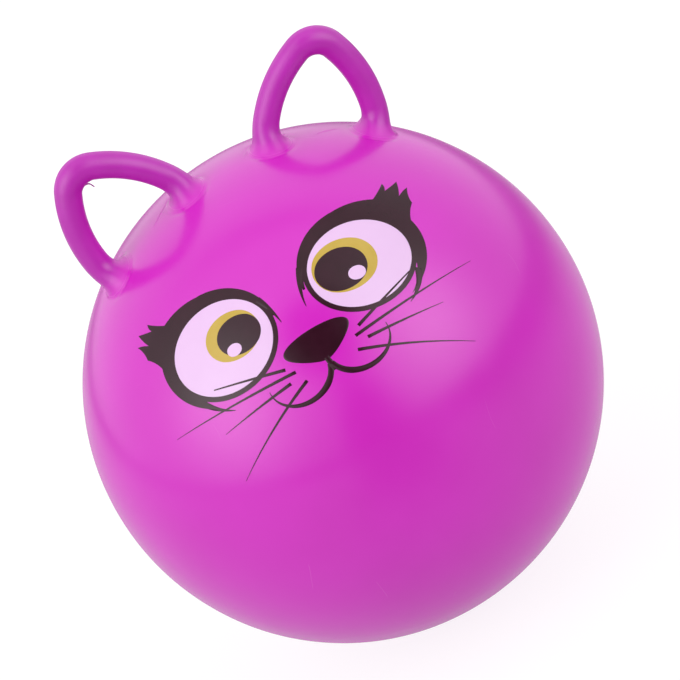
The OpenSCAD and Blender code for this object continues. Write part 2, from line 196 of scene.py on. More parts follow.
# The iris, the pupil and the glint of an eye, and how far both glints are shifted over the face
IRIS = ((-0.088, 0.027), (0.198, 0.167), -1)
PUPIL = ((-0.120, 0.012), (0.160, 0.133), 0)
GLINT = ((-0.050, -0.064), (0.053, 0.043), 0)
GLINT_SHIFT = (0.008, 0.006)
# The edge of the lashes: each corner or tip, and how far the edge bows on its way to the next
LASHES = (
    ((0.000, 0.397), 0.021), ((0.276, 0.363), -0.004), ((0.378, 0.450), 0.006), ((0.371, 0.390), -0.002),
    ((0.467, 0.427), 0.006), ((0.425, 0.300), 0.009), ((0.508, 0.357), -0.009), ((0.484, 0.236), -0.009),
    ((0.417, 0.112), 0),
)
# How far the lashes start outside the field, and how wide the tails' tips are
LASH_ROOT = 0.01
TAIL_TIP_W = 0.004
# The nose: its middle, its half sizes, and how much wider than its middle its top is
NOSE = ((0.007, -0.080), (0.211, 0.109), 0.48)
# The mouth: its mirror line, its stem, the oval that each half follows, the angles in degrees it starts and
# ends at, and its widths on the way, of which the first two are also the stem's
MOUTH_AXIS = 0.0085
MOUTH_STEM = ((0.003, -0.172), (0.015, -0.267), 0)
MOUTH = ((0.210, -0.184), (0.208, 0.169))
MOUTH_TURN = (191.5, 365.6)
MOUTH_WIDTHS = (0.0368, 0.0395, 0.0305, 0.0169, 0.004)
# The whiskers' mirror line and their width at the root, then each whisker of a cheek: its root, its tip, the
# bow of its middle and its width at the tip
WHISKER_AXIS = 0.0094
WHISKER_W = 0.0222
WHISKERS = (
    ((0.262, -0.106), (0.712, 0.048), -0.002, 0.009),
    ((0.214, -0.152), (1.081, -0.051), -0.003, 0.0027),
    ((0.276, -0.196), (0.790, -0.221), 0, 0.0027),
    ((0.182, -0.233), (0.836, -0.520), 0.012, 0.0027),
)
# The places across a stroke, and how close to its edge a patch's first step lies
ACROSS_STROKE = np.array([-1, -0.86, 0, 0.86, 1])
EDGE_STEP = 0.985
# The steps of the print's grids: over a disc, along a stroke and the mouth, along and across the thin line
# and the lid, along each edge and from root to tip of the lashes; and where the lid's ends are looked for
DISC_STEPS = 47
STROKE_STEPS = 26
MOUTH_STEPS = 60
LINE_STEPS = 164
LID_STEPS = 150
BAND_STEPS = 5
LASH_EDGE_STEPS = 9
LASH_STEPS = 6
LID_SEARCH = 2000

# How many samples the running sums for uneven steps have, a number too small to see that keeps a division
# from nought, and the angle between faces above which their edge stays sharp
FINE_STEPS = 4001
TINY = 1e-9
SHARP_ANGLE = math.radians(35)


def unit(v):
    """Each vector divided by its own length."""
    return v / np.linalg.norm(v, axis=-1, keepdims=True)


def spread(low, high, count, weight):
    """Values from low to high that lie closest where weight(value) is largest: equal steps of its running
    sum."""
    fine = np.linspace(low, high, FINE_STEPS)
    total = np.concatenate([[0], np.cumsum((weight(fine)[1:] + weight(fine)[:-1]) / 2)])
    return np.interp(np.linspace(0, total[-1], count), total, fine)


def crowded(offset, gain, width):
    """A weight for spread: one, and more by the gain where the offset is small, in a bell of this width."""
    return 1 + gain * np.exp(-((offset / width) ** 2))


def grid_quads(rows, cols, wrap=True):
    """Four-cornered faces between neighbouring points of a grid, whose columns may join round."""
    i = np.arange(rows - 1)[:, None]
    j = np.arange(cols if wrap else cols - 1)[None, :]
    i, j = np.broadcast_arrays(i, j)
    j2 = (j + 1) % cols
    this_row, next_row = i * cols, (i + 1) * cols
    return np.stack([this_row + j, this_row + j2, next_row + j2, next_row + j], -1).reshape(-1, 4)


def outward(points, faces):
    """The faces, turned round together if the closed surface's signed volume is negative."""
    volume = 0.0
    for group in faces:
        p = points[group]
        for k in range(1, group.shape[1] - 1):
            volume += np.einsum("ij,ij->i", p[:, 0], np.cross(p[:, k], p[:, k + 1])).sum()
    return faces if volume > 0 else [group[:, ::-1] for group in faces]


def capped(start, rings, end):
    """The points and faces of a closed tube: rings of points in a row, and a point at each end that the
    first and the last ring close to."""
    rows, cols = rings.shape[:2]
    points = np.concatenate([start, rings.reshape(-1, 3), end])
    k = np.arange(cols)
    first = np.stack([np.zeros(cols, int), 1 + (k + 1) % cols, 1 + k], -1)
    low = 1 + (rows - 1) * cols
    last = np.stack([np.full(cols, len(points) - 1), low + k, low + (k + 1) % cols], -1)
    return points, [grid_quads(rows, cols) + 1, first, last]


def piece(name, points, faces, material, body):
    """A smooth mesh from an array of points and a list of face arrays, with its material, riding on a body."""
    faces = outward(points - points.mean(0), [np.asarray(group) for group in faces])
    mesh = bpy.data.meshes.new(name)
    mesh.vertices.add(len(points))
    mesh.vertices.foreach_set("co", np.asarray(points, np.float32).ravel())
    loops = np.concatenate([group.ravel() for group in faces])
    sizes = np.concatenate([np.full(len(group), group.shape[1]) for group in faces])
    mesh.loops.add(len(loops))
    mesh.loops.foreach_set("vertex_index", loops.astype(np.int32))
    mesh.polygons.add(len(sizes))
    starts = np.concatenate([[0], np.cumsum(sizes)[:-1]])
    mesh.polygons.foreach_set("loop_start", starts.astype(np.int32))
    mesh.update(calc_edges=True)
    mesh.validate()
    mesh.shade_smooth()
    mesh.set_sharp_from_angle(angle=SHARP_ANGLE)
    mesh.materials.append(material)
    obj = bpy.data.objects.new(name, mesh)
    bpy.context.scene.collection.objects.link(obj)
    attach(obj, body)
    return obj


def root_frames():
    """For each ear root: the direction out of the ball, and the direction away from the ear's middle."""
    frames = []
    for side in (-1, 1):
        for root in (-1, 1):
            angle = side * EAR_LEAN + root * ROOT_ANGLE
            out = np.array([math.sin(angle), 0.0, math.cos(angle)])
            away = root * np.array([math.cos(angle), 0.0, -math.sin(angle)])
            frames.append((out, away))
    return frames


def round_root(value_out, value_in, value_across, along, across):
    """A size that changes round a tube: its outer, inner and crosswise values, weighted by squared
    cosines."""
    outer = np.clip(along, 0, None) ** 2
    inner = np.clip(-along, 0, None) ** 2
    return value_out * outer + value_in * inner + value_across * across**2


def skin_radius(d):
    """The skin's distance from the centre along unit directions d: the ball's radius, plus slow waves of the
    cast skin, less a shallow crease that runs round the foot of each ear tube."""
    wave = sum(share * np.sin(d @ np.array(turns) + start) for share, turns, start in WAVES)
    r = BALL_R - SKIN_INSET + WAVE_RISE * wave
    for out, away in root_frames():
        beside = d - (d @ out)[..., None] * out
        size = np.linalg.norm(beside, axis=-1) + TINY
        rho = BALL_R * size
        along = (beside @ away) / size
        across = beside[..., 1] / size
        foot = TUBE_R + round_root(FLARE_OUT[0], FLARE_IN[0], FLARE_ACROSS[0], along, across)
        near = np.exp(-(((rho - foot - CREASE_OUT) / CREASE_W) ** 2)) * (d @ out > 0)
        r = r - CREASE_DEPTH * near * (CREASE_LEAST + (1 - CREASE_LEAST) * across**2)
    return r


def on_ball(d, rise=0.0):
    """Points over unit directions d at a height over the skin. Below the rest plane the height is drawn
    in along a hyperbola, so that the ball ends in a flat patch with a soft edge."""
    p = CENTRE + d * (skin_radius(d) + rise)[..., None]
    p[..., 2] = (p[..., 2] + np.sqrt(p[..., 2] ** 2 + REST_EDGE**2)) / 2
    return p


def ball_directions(polar, azimuth):
    """Unit directions at polar angles from the pole opposite the valve and azimuths from its upward side."""
    polar, azimuth = np.meshgrid(polar, azimuth, indexing="ij")
    ring = np.cos(azimuth)[..., None] * VALVE_UP + np.sin(azimuth)[..., None] * SIDEWAYS
    return -np.cos(polar)[..., None] * VALVE_AXIS + np.sin(polar)[..., None] * ring


def make_ball(material):
    """The hollow skin: rings round the valve's axis from the front pole to the valve's hole, over its rim
    and back again along the inner face."""
    azimuth = spread(-math.pi, math.pi, BALL_COLUMNS + 1, lambda a: crowded(a, *CLOSE_COLUMNS))[:-1]
    last = math.pi - math.asin(VALVE_HOLE_R / BALL_R)
    polar = spread(0, last, BALL_RINGS + 1, lambda p: crowded(p - CLOSE_TURN, *CLOSE_RINGS))[1:]
    inner = np.linspace(last, 0, INNER_RINGS + 1)[:-1]
    outer_points = on_ball(ball_directions(polar, azimuth))
    rolled = on_ball(ball_directions(polar[-1:] + RIM_ROLL / BALL_R, azimuth), np.array([-RIM_ROLL]))
    inner_points = on_ball(ball_directions(inner, azimuth), np.full(len(inner), -SKIN_WALL)[:, None])
    front = on_ball(-VALVE_AXIS[None])
    back = on_ball(-VALVE_AXIS[None], np.array([-SKIN_WALL]))
    points, faces = capped(front, np.concatenate([outer_points, rolled, inner_points]), back)
    ball = piece("inflated_ball", points, faces, material, "ball")
    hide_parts("ball_skin")


def arc(centre, radius, start, end, count):
    """Points on a circle's arc, with the angle of each."""
    angle = np.linspace(start, end, count)
    return np.stack([centre[0] + radius * np.cos(angle), centre[1] + radius * np.sin(angle), angle], -1)


def ear_axes(side):
    """An ear's own directions: across it, out from the ball's middle, and square to both."""
    lean = side * EAR_LEAN
    return np.array([[math.cos(lean), 0, -math.sin(lean)],
                     [math.sin(lean), 0, math.cos(lean)],
                     [0, -1, 0]])


def hoop_line():
    """Half of an ear's centre line from its root to its tip: a straight stub and three arcs, each tangent to
    the next. The side arc's centre lies where two circles about the other centres meet."""
    out = np.array([math.sin(ROOT_ANGLE), math.cos(ROOT_ANGLE)])
    across = np.array([math.cos(ROOT_ANGLE), -math.sin(ROOT_ANGLE)])
    tip = np.array([0.0, BALL_R + EAR_HEIGHT - TIP_BEND_R])
    foot = STUB_TOP * out - FOOT_BEND_R * across
    tip_reach, foot_reach = SIDE_BEND_R - TIP_BEND_R, SIDE_BEND_R - FOOT_BEND_R
    gap = np.linalg.norm(foot - tip)
    along = (tip_reach**2 - foot_reach**2 + gap**2) / (2 * gap)
    aside = math.sqrt(tip_reach**2 - along**2)
    run = (foot - tip) / gap
    sides = [tip + along * run + s * aside * np.array([run[1], -run[0]]) for s in (1, -1)]
    side = min(sides, key=lambda c: c[0])
    tip_angle = math.atan2(tip[1] - side[1], tip[0] - side[0])
    side_angle = math.atan2(foot[1] - side[1], foot[0] - side[0])
    closer = lambda c: 1 + STUB_GAIN * (STUB_TOP - c) / (STUB_TOP - BALL_R)
    reach = spread(BALL_R, STUB_TOP, EAR_RINGS[0], closer)[:-1]
    stub = np.concatenate([reach[:, None] * out, np.full((len(reach), 1), -ROOT_ANGLE)], 1)
    return np.concatenate([
        stub,
        arc(foot, FOOT_BEND_R, -ROOT_ANGLE, side_angle, EAR_RINGS[1])[:-1],
        arc(side, SIDE_BEND_R, side_angle, tip_angle, EAR_RINGS[2])[:-1],
        arc(tip, TIP_BEND_R, tip_angle, math.pi / 2, EAR_RINGS[3]),
    ])


def make_ear(name, side, node, material):
    """One hoop: a circle carried along the centre line. Its radius swells towards the tip with the cube of
    the sine of the line's turn. At each foot it runs out along nearly a quarter of an ellipse, one less the
    root of one less the cube of the height left. Before and behind the ear that is mixed with a parabola,
    the square of the height left. The lowest rings bend down to the ball's own curve in a
    smooth step of the fifth degree, and a raised line marks where the mould parted."""
    half = hoop_line()
    line = np.concatenate([half, np.stack([-half[::-1, 0], half[::-1, 1], math.pi - half[::-1, 2]], -1)[1:]])
    steps = np.linalg.norm(np.diff(line[:, :2], axis=0), axis=1)
    run = np.concatenate([[0], np.cumsum(steps)])
    height = np.minimum(run, run[-1] - run)[:, None]
    closer = lambda t: crowded(np.sin(t), *CLOSE_SEAM)
    t = spread(-math.pi / 2, 1.5 * math.pi, EAR_COLUMNS + 1, closer)[:-1][None, :]
    along, across = np.cos(t), np.sin(t)
    turn = line[:, 2][:, None]
    radius = TUBE_R + (TIP_TUBE_R - TUBE_R) * np.clip(np.sin(turn), 0, None) ** 3
    bell = np.exp(-((across / EAR_SEAM_SINE) ** 2))
    radius = radius + EAR_SEAM_RISE * bell * np.clip(height / EAR_SEAM_START, 0, 1)
    wide = round_root(FLARE_OUT[0], FLARE_IN[0], FLARE_ACROSS[0], along, across)
    tall = round_root(FLARE_OUT[1], FLARE_IN[1], FLARE_ACROSS[1], along, across)
    left = np.clip(1 - height / (ELLIPSE_RUN * tall), 0, 1)
    quarter = 1 - np.sqrt(1 - left**3)
    parabola = np.clip(1 - height / (PARABOLA_RUN * tall), 0, 1) ** 2
    rho = radius + wide * (quarter + PARABOLA_SHARE * across**2 * (parabola - quarter))
    x = line[:, 0][:, None] + rho * along * np.cos(turn)
    y = line[:, 1][:, None] + rho * along * np.sin(turn)
    z = rho * across + 0 * x
    # near the ball the ring bends down to the skin's own curve
    flat = np.stack([x, y, z], -1)
    root_x = np.where(line[:, 0] > 0, 1.0, -1.0)[:, None]
    out = np.stack([root_x * math.sin(ROOT_ANGLE), np.full_like(root_x, math.cos(ROOT_ANGLE)), 0 * root_x],
                   -1)
    beside = flat - (flat * out).sum(-1, keepdims=True) * out
    axes = ear_axes(side)
    d = unit(np.sqrt(BALL_R**2 - (beside**2).sum(-1, keepdims=True)) * out + beside) @ axes
    reach = (flat * out).sum(-1) - BALL_R
    bent = d * (skin_radius(d) + reach - FOOT_SINK)[..., None]
    blend = np.clip(1 - height / (STUB_TOP - BALL_R), 0, 1)[..., None]
    blend = blend**3 * (blend * (6 * blend - 15) + 10)
    ring = CENTRE + bent * blend + (flat @ axes) * (1 - blend)
    # each end closes in a blunt cone under the skin
    middle = ring[[0, -1]].mean(1, keepdims=True)
    inward = unit(CENTRE - middle) * FOOT_ROOT
    sunk = ring[[0, -1]] + inward
    tips = middle + inward * 2
    points, faces = capped(tips[0], np.concatenate([sunk[:1], ring, sunk[1:]]), tips[1])
    ear = piece(name, points, faces, material, "ball")
    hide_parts(node)


def make_seam(name, places, material):
    """A low ridge over the ball along a parabola through three places, its height a bell across and an arch
    along, so that it runs out at both ends."""
    places = np.array(places)
    s = np.linspace(0, 1, SEAM_GRID[0])
    line = np.stack([np.polyval(np.polyfit((0, 0.5, 1), places[:, k], 2), s) for k in (0, 1)], -1)
    line = np.concatenate([line, np.sqrt(BALL_R**2 - (line**2).sum(-1, keepdims=True))], -1)
    out = unit(line)
    aside = unit(np.cross(np.gradient(line, axis=0), out))
    v = np.linspace(-1, 1, SEAM_GRID[1])
    d = unit(out[:, None, :] + (v * SEAM_W / 2 / BALL_R)[None, :, None] * aside[:, None, :])
    height = SEAM_RISE * np.sin(math.pi * s)[:, None] ** SEAM_ARCH * np.exp(-((v / SEAM_BELL) ** 2))
    points, faces = closed_film(d, height)
    piece(name, points, [faces], material, "ball")


def make_curl(material):
    """A thin thread of flash: a circle that shrinks evenly as it follows a cubic through the left ear's
    corner."""
    places = np.array(CURL)
    u = np.linspace(0, 1, len(places))
    s = np.linspace(0, 1, CURL_GRID[0])
    across, outward_from = (np.polyval(np.polyfit(u, places[:, k], 3), s) for k in (0, 1))
    axes = ear_axes(-1)
    line = CENTRE + across[:, None] * axes[0] + outward_from[:, None] * axes[1]
    run = unit(np.gradient(line, axis=0))
    flat = np.array([0.0, 1.0, 0.0])
    beside = np.cross(run, flat)
    radius = (CURL_R[0] + (CURL_R[1] - CURL_R[0]) * s)[:, None, None]
    a = np.linspace(0, 2 * math.pi, CURL_GRID[1] + 1)[:-1][None, :, None]
    rings = line[:, None, :] + radius * (np.cos(a) * beside[:, None, :] + np.sin(a) * flat)
    points, faces = capped(line[:1] - run[:1] * CURL_R[0], rings, line[-1:] + run[-1:] * CURL_R[1])
    piece("flash_curl", points, faces, material, "ball")


def film(xy, rise):
    """A closed film of ink over a patch of the face plane, given as a grid of x and y in shares of the gap
    between the eyes. Its top lies at rise over the skin, and its edge and its underside just below it."""
    x, y = xy[..., 0] * EYE_GAP, xy[..., 1] * EYE_GAP
    depth = np.sqrt(BALL_R**2 - x**2 - y**2)
    d = unit(x[..., None] * FACE_X + y[..., None] * FACE_Y + depth[..., None] * FACE_OUT)
    return closed_film(d, np.full(x.shape, rise))


def closed_film(d, height):
    """A closed film over a grid of directions from the ball's centre: its top at the given heights over the
    skin, its border just under the skin and its underside a little lower."""
    rows, cols = height.shape
    height[[0, -1], :] = -INK_BORDER
    height[:, [0, -1]] = -INK_BORDER
    top = on_ball(d, height)
    under = on_ball(d, np.full((rows, cols), -INK_ROOT))
    points = np.concatenate([top.reshape(-1, 3), under.reshape(-1, 3)])
    quads = grid_quads(rows, cols, wrap=False)
    n = rows * cols
    index = np.arange(n).reshape(rows, cols)
    edge = np.concatenate([index[0, :], index[1:, -1], index[-1, -2::-1], index[-2:0:-1, 0]])
    following = np.roll(edge, -1)
    walls = np.stack([edge, following, following + n, edge + n], -1)
    faces = [np.concatenate([quads[:, ::-1], quads + n, walls])]
    return points, outward(points - points.mean(0), faces)[0]


def ink(name, patches, material, node):
    """Several films joined into one printed layer, at heights that step up from one to the next and start
    again after a few."""
    points, faces, count = [], [], 0
    for k, (xy, rise) in enumerate(patches):
        p, f = film(xy, rise + PATCH_STEP * (k % PATCH_LEVELS))
        points.append(p)
        faces.append(f + count)
        count += len(p)
    layer = piece(name, np.concatenate(points), [np.concatenate(faces)], material, "ball")
    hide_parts(node)


def edge_steps(count):
    """Steps from -1 to 1 with one close to each end, so that a film's top reaches nearly to its edge."""
    return np.concatenate([[-1], np.linspace(-EDGE_STEP, EDGE_STEP, count), [1]])


def turned(p, degrees):
    """Points turned about the origin."""
    a = math.radians(degrees)
    return np.stack([p[..., 0] * math.cos(a) - p[..., 1] * math.sin(a),
                     p[..., 0] * math.sin(a) + p[..., 1] * math.cos(a)], -1)


def disc():
    """A square grid pressed into a round disc: each coordinate shrinks with the square of the other."""
    u, v = np.meshgrid(edge_steps(DISC_STEPS), edge_steps(DISC_STEPS), indexing="ij")
    return np.stack([u * np.sqrt(1 - v**2 / 2), v * np.sqrt(1 - u**2 / 2)], -1)


def on_eye(eye, p):
    """Places on one eye, as x away from the nose and y up, moved on to the face."""
    return np.array(eye["place"]) + turned(p * eye["size"] * np.array([eye["side"], 1]), EYE_TURN)


def oval(eye, place, size, tilt=0, scale=1.0):
    """A filled oval on one eye."""
    return on_eye(eye, np.array(place) + turned(disc() * np.array(size) * scale, tilt))


def stroke(root, tip, bow, root_w, tip_w):
    """A tapered stroke: its middle line bows as a parabola and its width falls evenly from root to tip."""
    s = (edge_steps(STROKE_STEPS) + 1) / 2
    root, tip = np.array(root, float), np.array(tip, float)
    run = tip - root
    square_to = np.array([-run[1], run[0]]) / np.linalg.norm(run)
    middle = root + s[:, None] * run + (4 * bow * s * (1 - s))[:, None] * square_to
    half = (root_w + (tip_w - root_w) * s) / 2
    return middle[:, None, :] + (half[:, None] * ACROSS_STROKE)[..., None] * square_to


def oval_reach(angle, place, size, tilt=0):
    """The distance from the eye's middle to an oval's edge along each angle: the positive root of a
    quadratic in the oval's own tilted directions."""
    place = turned(np.array(place, float), -tilt)
    angle = angle - math.radians(tilt)
    c, s = np.cos(angle), np.sin(angle)
    a = (c / size[0]) ** 2 + (s / size[1]) ** 2
    b = -2 * (c * place[0] / size[0] ** 2 + s * place[1] / size[1] ** 2)
    k = (place[0] / size[0]) ** 2 + (place[1] / size[1]) ** 2 - 1
    return (-b + np.sqrt(b * b - 4 * a * k)) / (2 * a)


def band(eye, angle, inner, outer):
    """A strip between two distances from the eye's middle, along a run of angles."""
    v = (edge_steps(BAND_STEPS)[None, :] + 1) / 2
    reach = inner[:, None] * (1 - v) + outer[:, None] * v
    return on_eye(eye, np.stack([reach * np.cos(angle)[:, None], reach * np.sin(angle)[:, None]], -1))


def lash_tuft(eye):
    """Three lashes in one patch: from a root line inside the lid out to an edge of parabolas between
    corners."""
    edge = []
    for (start, bow), (end, _) in zip(LASHES[:-1], LASHES[1:]):
        k = np.linspace(0, 1, LASH_EDGE_STEPS + 1)[:-1, None]
        run = np.subtract(end, start)
        square_to = np.array([-run[1], run[0]]) / np.linalg.norm(run)
        edge.append(start + k * run + 4 * bow * k * (1 - k) * square_to)
    edge = np.concatenate(edge + [np.array([LASHES[-1][0]])])
    v = (edge_steps(LASH_STEPS)[None, :, None] + 1) / 2
    edge = edge * eye["lid"]
    white = oval_reach(np.arctan2(edge[:, 1], edge[:, 0]), (0, 0), WHITE)
    root = unit(edge) * (white[:, None] + LASH_ROOT)
    return on_eye(eye, root[:, None, :] * (1 - v) + edge[:, None, :] * v)


def eye_frame(eye):
    """The thin line round an eye, the heavy lid that tapers out at both ends, its two tails and the
    lashes."""
    angle = np.linspace(0, 2 * math.pi + LINE_LAP, LINE_STEPS) - math.pi / 2
    white = oval_reach(angle, (0, 0), WHITE) - WHITE_LAP
    line = oval_reach(angle, (0, 0), (WHITE[0] + EYE_LINE, WHITE[1] + EYE_LINE))
    patches = [band(eye, angle, white, line)]

    def lid_reach(angle, oval):
        place, size, tilt = oval
        return oval_reach(angle, np.array(place) * eye["lid"], np.array(size) * eye["lid"], tilt)

    def cut_reach(angle):
        return np.maximum(lid_reach(angle, LID_CUT), oval_reach(angle, (0, 0), WHITE) - WHITE_LAP)

    fine = np.linspace(-math.pi / 2, 1.5 * math.pi, LID_SEARCH)
    kept = fine[lid_reach(fine, LID) > cut_reach(fine)]
    angle = np.linspace(kept[0], kept[-1] - LID_TRIM, LID_STEPS)
    cut = cut_reach(angle)
    patches.append(band(eye, angle, cut, np.maximum(lid_reach(angle, LID), cut + LEAST_LID)))
    patches += [on_eye(eye, eye["lid"] * stroke(*tail, TAIL_TIP_W)) for tail in eye["tails"]]
    patches.append(lash_tuft(eye))
    return patches


def nose():
    """An oval whose width grows towards its top."""
    p = disc()
    place, size, taper = NOSE
    return np.array(place) + np.stack([p[..., 0] * (1 + taper * p[..., 1]), p[..., 1]], -1) * np.array(size)


def mouth():
    """A short stem and, on each side, a line along an oval arc that thins towards the cheek."""
    patches = [stroke(*MOUTH_STEM, MOUTH_WIDTHS[0], MOUTH_WIDTHS[1])]
    s = (edge_steps(MOUTH_STEPS) + 1) / 2
    a = np.radians(MOUTH_TURN[0] + (MOUTH_TURN[1] - MOUTH_TURN[0]) * s)
    place, size = MOUTH
    line = np.stack([place[0] + size[0] * np.cos(a), place[1] + size[1] * np.sin(a)], -1)
    run = unit(np.stack([-size[0] * np.sin(a), size[1] * np.cos(a)], -1))
    square_to = np.stack([-run[:, 1], run[:, 0]], -1)
    half = np.interp(s, np.linspace(0, 1, len(MOUTH_WIDTHS)), MOUTH_WIDTHS) / 2
    strip = line[:, None, :] + (half[:, None] * ACROSS_STROKE)[..., None] * square_to[:, None, :]
    for side in (1, -1):
        patches.append(strip * np.array([side, 1]) + np.array([MOUTH_AXIS, 0]))
    return patches


def whiskers():
    """Four tapered strokes on each cheek."""
    return [stroke(root, tip, bow, WHISKER_W, tip_w) * np.array([side, 1]) + np.array([WHISKER_AXIS, 0])
            for side in (1, -1) for root, tip, bow, tip_w in WHISKERS]


def make_face(black, lilac, gold):
    """The printed face, in layers of ink that lie on each other: lilac, gold, black and the lilac glints."""
    lilac_parts, gold_parts, black_parts = [], [], []
    for eye in EYES:
        lilac_parts.append((oval(eye, (0, 0), WHITE), INK))
        lilac_parts.append((oval(eye, *GLINT, scale=eye["iris"]) + GLINT_SHIFT, INK + 3 * INK_STEP))
        gold_parts.append((oval(eye, *IRIS, scale=eye["iris"]), INK + INK_STEP))
        place, size, tilt = PUPIL
        pupil = oval(eye, (place[0] + eye["pupil"], place[1]), size, tilt, eye["iris"])
        black_parts.append((pupil, INK + 2 * INK_STEP))
        black_parts += [(p, INK + 2 * INK_STEP) for p in eye_frame(eye)]
    black_parts.append((nose(), INK))
    black_parts += [(p, INK + INK_STEP) for p in mouth()]
    black_parts += [(p, INK + 3 * INK_STEP) for p in whiskers()]
    ink("lilac_print", lilac_parts, lilac, "print_lilac_ink")
    ink("gold_print", gold_parts, gold, "print_gold_ink")
    ink("black_print", black_parts, black, "print_black_ink")


def linear(red, green, blue):
    """A colour given as display values from 0 to 255, turned into linear light by the usual curve."""
    v = np.array([red, green, blue]) / 255
    return tuple(np.where(v <= 0.04045, v / 12.92, ((v + 0.055) / 1.055) ** 2.4)) + (1.0,)


# How strongly the vinyl and its inks mirror the room, as an index of refraction
GLOSS = 1.6
INK_GLOSS = 1.44
# The heights over the ball between which the ball's colour and its gloss change into the ears'
COLOUR_CHANGE = (0.3 * MM, 14 * MM)
GLOSS_CHANGE = (0.1 * MM, 1.3 * MM)
# The range of values that most of a noise lies in, and its middle
NOISE_SPAN = (0.3, 0.7)
NOISE_MIDDLE = 0.5
# The two colours of the ball, of the ears, of the valve's seat and of its plug, as display values from 0 to
# 255, which are mixed in slow blotches, and the range of each one's roughness
BALL_COLOURS = ((209, 32, 191), (215, 38, 198))
BALL_ROUGH = (0.20, 0.25)
EAR_COLOURS = ((185, 28, 174), (192, 33, 182))
EAR_ROUGH = (0.34, 0.40)
SEAT_COLOURS = ((196, 36, 178), (206, 42, 188))
SEAT_ROUGH = (0.30, 0.42)
PLUG_COLOURS = ((226, 222, 214), (234, 231, 225))
PLUG_ROUGH = (0.35, 0.47)
# The inks, in the same way; lilac and gold share one range of roughness
BLACK_COLOURS = ((45, 5, 24), (51, 9, 30))
BLACK_ROUGH = (0.2, 0.225)
LILAC_COLOURS = ((232, 193, 236), (234, 196, 238))
GOLD_COLOURS = ((196, 164, 62), (203, 172, 78))
PALE_ROUGH = (0.24, 0.265)
# The thin pale scuffs: their colour, how strong they are, their width as a step of a noise, and the range of
# the other noise over which they come out
SCUFF_COLOUR = (244, 150, 236)
SCUFF_SHARE = 0.12
SCUFF_W = 0.0016
SCUFF_SPAN = (0.60, 0.66)
# Each noise: its blotches in a metre, its detail and, where it isn't the usual one, its roughness. They are
# for the ball's colour, the ears' colour, the skin's gloss, the scuffs' lines and what lets them through,
# and then for the colour and the gloss of ink and of plastic.
BALL_BLOTCHES = (9, 3)
EAR_BLOTCHES = (40, 2)
GLOSS_BLOTCHES = (26, 4, 0.6)
SCUFF_LINES = (7, 1)
SCUFF_GATE = (23, 2)
INK_BLOTCHES = ((60, 3), (120, 3, 0.6))
PLASTIC_BLOTCHES = ((180, 3), (420, 3, 0.6))
# The fine grain of each surface: its scale, its strength and its depth
VINYL_GRAIN = (900, 0.02, 0.4 * MM)
INK_GRAIN = (1500, 0.03, 0.2 * MM)
PLASTIC_GRAIN = (2600, 0.12, 0.2 * MM)


def feed(tree, socket, value):
    """A link into a node's socket if the value is another socket, or else the plain value."""
    if isinstance(value, bpy.types.NodeSocket):
        tree.links.new(value, socket)
    else:
        socket.default_value = value


def add_node(tree, kind, inputs=(), **settings):
    """A new shader node with its settings and its inputs."""
    made = tree.nodes.new("ShaderNode" + kind)
    for key, value in settings.items():
        setattr(made, key, value)
    for key, value in dict(inputs).items():
        feed(tree, made.inputs[key], value)
    return made


class Finish:
    """A small helper that adds nodes and links to one material."""

    def __init__(self, name):
        self.material = bpy.data.materials.new(name)
        self.material.use_nodes = True
        self.tree = self.material.node_tree
        self.shader = self.tree.nodes["Principled BSDF"]
        self.place = self.tree.nodes.new("ShaderNodeTexCoord").outputs["Object"]

    def node(self, kind, inputs=(), **settings):
        return add_node(self.tree, kind, inputs, **settings)

    def set(self, key, value):
        feed(self.tree, self.shader.inputs[key], value)

    def noise(self, scale, detail=2.0, rough=0.5):
        return self.node("TexNoise", {"Vector": self.place, "Scale": scale, "Detail": detail,
                                      "Roughness": rough}).outputs["Fac"]

    def span(self, value, low, high, new_low, new_high):
        return self.node("MapRange", {"Value": value, "From Min": low, "From Max": high,
                                      "To Min": new_low, "To Max": new_high}).outputs["Result"]

    def mix(self, factor, a, b):
        return self.node("Mix", {0: factor, 6: a, 7: b}, data_type="RGBA").outputs[2]

    def blotched(self, blotches, low, high):
        share = self.span(self.noise(*blotches), *NOISE_SPAN, 0, 1)
        return self.mix(share, linear(*low), linear(*high))

    def grain(self, scale, strength, distance):
        made = self.node("Bump", {"Height": self.noise(scale), "Strength": strength, "Distance": distance})
        self.set("Normal", made.outputs["Normal"])


